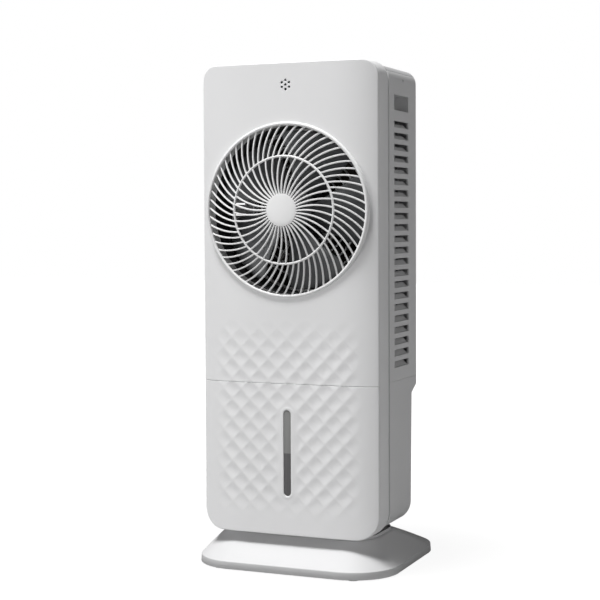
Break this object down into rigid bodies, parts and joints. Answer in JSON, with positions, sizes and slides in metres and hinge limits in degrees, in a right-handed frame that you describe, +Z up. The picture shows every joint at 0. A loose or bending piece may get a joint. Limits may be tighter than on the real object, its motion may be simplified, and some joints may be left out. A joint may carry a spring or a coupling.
{
  "type": "evaporative air cooler",
  "caption": "Slim upright evaporative air cooler: round spiral-spoked fan grille, side louvres, pull-out water tank with level window, rounded base.",
  "frame": {"origin": "centre of the base's footprint on the floor", "axes": "+Z up, +X to the right seen from the front, +Y from the front cover to the rear grille; the front faces -Y"},
  "size_m": [0.316, 0.284, 0.754],
  "materials": {
    "white_plastic": "satin",
    "frame_plastic": "satin",
    "base_plastic": "matt",
    "rubber": "matt",
    "steel": "satin",
    "window": "smooth translucent",
    "tank_plastic": "smooth translucent",
    "grey_plastic": "matt",
    "dark_plastic": "matt",
    "fan_plastic": "satin",
    "hose": "smooth",
    "motor": "satin",
    "circuit_board": "matt",
    "lens": "polished",
    "button": "satin",
    "pad": "ribbed paper",
    "filter": "mesh"
  },
  "bodies": {
    "cooler": {"base_plate": "base_plastic", "base_cover": "white_plastic", "rubber_feet": "rubber", "base_screws": "steel", "lower_frame": "frame_plastic", "lower_front_panel": "white_plastic", "level_window": "window", "lower_housing": "frame_plastic", "front_frame": "frame_plastic", "front_cover": "white_plastic", "receiver_board": "circuit_board", "front_grille": "white_plastic", "hub_cap": "white_plastic", "fan_duct": "dark_plastic", "rear_guard": "white_plastic", "fan_motor": "motor", "motor_screws": "steel", "cabinet": "frame_plastic", "left_grip_cup": "grey_plastic", "right_grip_cup": "grey_plastic", "side_screws": "steel", "top_cap": "frame_plastic", "display_lens": "lens", "control_board": "circuit_board", "drip_tray": "base_plastic", "pad_frame": "frame_plastic", "cooling_pad": "pad", "water_tray": "base_plastic", "supply_hose": "hose", "cord_inlet": "dark_plastic"},
    "fan": {"fan_rotor": "fan_plastic", "fan_nut": "steel", "motor_shaft": "steel"},
    "tank": {"water_tank": "tank_plastic", "tank_grip_cup": "grey_plastic", "water_pump": "dark_plastic", "pump_riser": "hose"},
    "rear_panel": {"rear_grille": "frame_plastic", "dust_filter": "filter"},
    "power_key": {"power_button": "button"},
    "speed_key": {"speed_button": "button"},
    "cool_key": {"cool_button": "button"},
    "timer_key": {"timer_button": "button"}
  },
  "joints": [
    {"name": "fan_spin", "type": "hinge", "parent": "cooler", "child": "fan", "pos_m": [0, -0.074, 0.5367], "axis": [0, 1, 0], "continuous": true},
    {"name": "tank_slide", "type": "slide", "parent": "cooler", "child": "tank", "axis": [0, 1, 0], "range_m": [0, 0.135]},
    {"name": "rear_panel_slide", "type": "slide", "parent": "cooler", "child": "rear_panel", "axis": [0, 1, 0], "range_m": [0, 0.04]},
    {"name": "power_press", "type": "slide", "parent": "cooler", "child": "power_key", "axis": [0, 0, -1], "range_m": [0, 0.0012], "stiffness_N_per_m": 250, "springref_m": -0.001},
    {"name": "speed_press", "type": "slide", "parent": "cooler", "child": "speed_key", "axis": [0, 0, -1], "range_m": [0, 0.0012], "stiffness_N_per_m": 250, "springref_m": -0.001},
    {"name": "cool_press", "type": "slide", "parent": "cooler", "child": "cool_key", "axis": [0, 0, -1], "range_m": [0, 0.0012], "stiffness_N_per_m": 250, "springref_m": -0.001},
    {"name": "timer_press", "type": "slide", "parent": "cooler", "child": "timer_key", "axis": [0, 0, -1], "range_m": [0, 0.0012], "stiffness_N_per_m": 250, "springref_m": -0.001}
  ]
}
